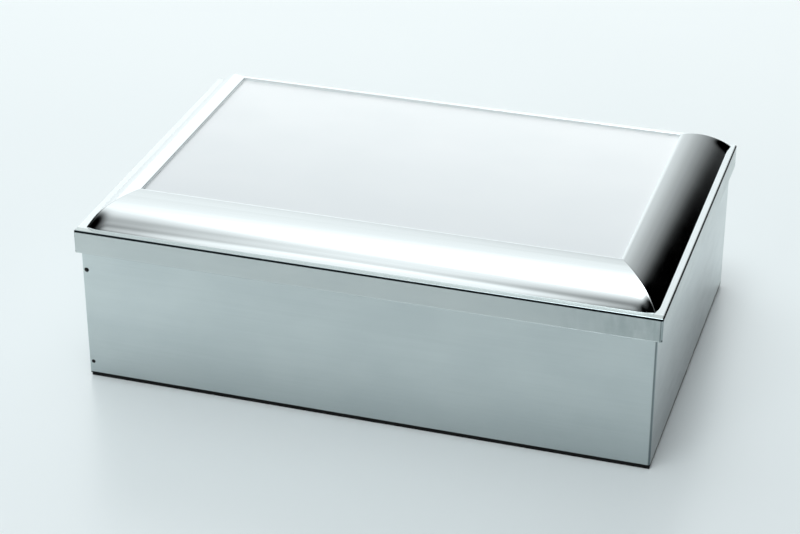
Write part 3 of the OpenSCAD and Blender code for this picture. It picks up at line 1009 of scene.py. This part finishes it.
@dataclass
class Studio:
    """A pale satin board in a room that is dark but for a white wall behind and what lights the tin.

    That is a ceiling with two black flags under it, a soft box overhead, and three cards at the front left.
    """

    board: tuple[float, float, float, float] = (-2600.0, -1500.0, 480.0, 2600.0)
    ground: float = 9000.0
    pale: str = "#F3FBFB"
    tint: str = "#F6FCFD"
    back_wall: SoftPatch = SoftPatch(-35, 0, ((0, 1.35), (18, 1.33), (28, 1.24), (36, 1.12), (43, 0.98),
                                              (46, 0.82), (49, 0.70), (52, 0.54), (55, 0.41), (58, 0.26),
                                              (60, 0.14), (61.5, 0.045), (63, 0.003), (64, 0.0)))
    wall_top: SoftPatch = SoftPatch(0, 90, ((0, 0.82), (54, 0.82), (63, 1.0)))
    ceiling: SoftPatch = SoftPatch(-120, 86, ((0, 1.08), (24, 1.06), (28, 0.99), (32, 0.82), (36, 0.64),
                                              (40, 0.46), (46, 0.24), (52, 0.08), (57, 0.0)))
    # Black flags that keep the ceiling's light off both ends of the front
    right_flag: SoftPatch = SoftPatch(165, 42, ((0, 0.0), (13, 0.0), (17, 0.4), (22, 0.8), (27, 1.0)))
    left_flag: SoftPatch = SoftPatch(-120, 40, ((0, 0.0), (6, 0.0), (11, 0.12), (17, 0.5), (22, 0.82),
                                                (26, 1.0)))
    soft_box: SoftPatch = SoftPatch(-171, 78, ((0, 9.0), (9, 9.0), (12, 5.0), (15, 1.6), (19, 0.4),
                                               (24, 0.12), (30, 0.0)))
    front_card: SoftPatch = SoftPatch(-159, 38.5, ((0, 1.0), (4.5, 0.97), (6, 0.62), (7.4, 0.25),
                                                   (8.8, 0.05), (10.2, 0.0)))
    low_card: SoftPatch = SoftPatch(-150, 22, ((0, 3.2), (4, 2.8), (7, 0.6), (9, 0.0)))
    card_top: SoftPatch = SoftPatch(-153.5, 48.5, ((0, 0.44), (3, 0.38), (6, 0.16), (8, 0.04), (10, 0.0)))
    # Where polished metal sees the pale ground, as a share from 0 to 1
    background: SoftPatch = SoftPatch(-35, 0, ((0, 1.0), (28, 1.0), (34, 0.0)))

    def build(self) -> None:
        """Lays the board and lights the room."""
        finish = BackdropBoard("backdrop_satin_board", "#E6EBED", 0.28, 0.0).material()
        left, front, right, back = (v * MM for v in self.board)
        far = self.ground * MM
        near = [(left, front), (right, front), (right, back), (left, back)]
        wide = [(-far, -far), (far, -far), (far, far), (-far, far)]
        self.lay("board_ground", [near], finish)
        ring = [[wide[k], wide[(k + 1) % 4], near[(k + 1) % 4], near[k]] for k in range(4)]
        beyond = self.lay("ground_beyond", ring, finish)
        # Metal doesn't see the ground past the board, as in a room that is dark there
        beyond.visible_glossy = False
        self.light()

    def lay(self, name: str, plans: list[list[tuple[float, float]]],
            finish: bpy.types.Material) -> bpy.types.Object:
        """Lays flat pieces of ground.

        Args:
            name: The name of what is laid.
            plans: The corners of each piece, in metres.
            finish: Its material.

        Returns:
            The ground.
        """
        flat = bmesh.new()
        for plan in plans:
            flat.faces.new([flat.verts.new((x, y, 0.0)) for x, y in plan])
        ground = add_mesh(name, flat, finish)
        return ground

    def product(self, tree: bpy.types.NodeTree, way: bpy.types.NodeSocket,
                patches: tuple[SoftPatch, ...]) -> bpy.types.NodeSocket:
        """Draws a patch that others shade.

        Args:
            tree: The world's node tree.
            way: The direction looked at.
            patches: The lit patch and what shades it.

        Returns:
            The brightness that is left.
        """
        level, *shades = (patch.brightness(tree, way) for patch in patches)
        for shade in shades:
            level = add_node(tree, "ShaderNodeMath", {0: level, 1: shade}, operation="MULTIPLY").outputs[0]
        return level

    def light(self) -> None:
        """Lights the room from its wall, its flagged ceiling, the soft box and the cards."""
        world = bpy.data.worlds.new("studio_room")
        bpy.context.scene.world = world
        world.use_nodes = True
        tree = world.node_tree
        way = add_node(tree, "ShaderNodeTexCoord").outputs["Generated"]
        level = self.product(tree, way, (self.back_wall, self.wall_top))
        overhead = self.product(tree, way, (self.ceiling, self.right_flag, self.left_flag))
        level = add_node(tree, "ShaderNodeMath", {0: level, 1: overhead}, operation="ADD").outputs[0]
        for patch in (self.soft_box, self.front_card, self.card_top, self.low_card):
            level = add_node(tree, "ShaderNodeMath", {0: level, 1: patch.brightness(tree, way)},
                             operation="ADD").outputs[0]
        lit = add_node(tree, "ShaderNodeVectorMath", {0: linear(self.tint)[:3], "Scale": level},
                       operation="SCALE").outputs[0]
        # The camera and glass see the pale ground all round, and metal sees it where it lies behind the tin
        ray = add_node(tree, "ShaderNodeLightPath").outputs
        behind = add_node(tree, "ShaderNodeMath",
                          {0: ray["Is Glossy Ray"], 1: self.background.brightness(tree, way)},
                          operation="MULTIPLY").outputs[0]
        seen = add_node(tree, "ShaderNodeMath", {0: ray["Is Camera Ray"], 1: ray["Is Transmission Ray"]},
                        operation="ADD").outputs[0]
        seen = add_node(tree, "ShaderNodeMath", {0: seen, 1: behind}, operation="ADD",
                        use_clamp=True).outputs[0]
        room = add_node(tree, "ShaderNodeMix", {"Factor": seen, 6: lit, 7: linear(self.pale)},
                        data_type="RGBA", blend_type="LIGHTEN")
        tree.links.new(room.outputs[2], tree.nodes["Background"].inputs["Color"])
        log.info("lit the studio")


@dataclass
class PhotoCamera:
    """The camera at the photograph's place."""

    place: tuple[float, float, float] = (349.6, -1149.3, 699.1)
    forward: tuple[float, float, float] = (-0.26296, 0.83760, -0.47883)
    lens: float = 99.45
    sensor: float = 36.0
    # What the camera sees starts and ends this far from it
    sight: tuple[float, float] = (50.0, 50000.0)

    def build(self) -> None:
        """Stands the camera in its place and makes it the scene's."""
        data = bpy.data.cameras.new("photo_camera")
        data.lens, data.sensor_width, data.sensor_fit = self.lens, self.sensor, "HORIZONTAL"
        data.clip_start, data.clip_end = (reach * MM for reach in self.sight)
        camera = bpy.data.objects.new("photo_camera", data)
        bpy.context.scene.collection.objects.link(camera)
        camera.location = Vector(self.place) * MM
        camera.rotation_mode = "QUATERNION"
        camera.rotation_quaternion = Vector(self.forward).to_track_quat("-Z", "Y")
        bpy.context.scene.camera = camera
        log.info("placed the camera")


def main() -> None:
    """Builds the camera, the tin and the studio in order."""
    logging.basicConfig(level=logging.INFO, format="%(name)s: %(message)s")
    bpy.context.scene.view_settings.view_transform = "Standard"
    PhotoCamera().build()
    finishes = Finishes()
    Box().build(finishes)
    Lid().build(finishes)
    Studio().build()


if __name__ == "__main__":
    main()
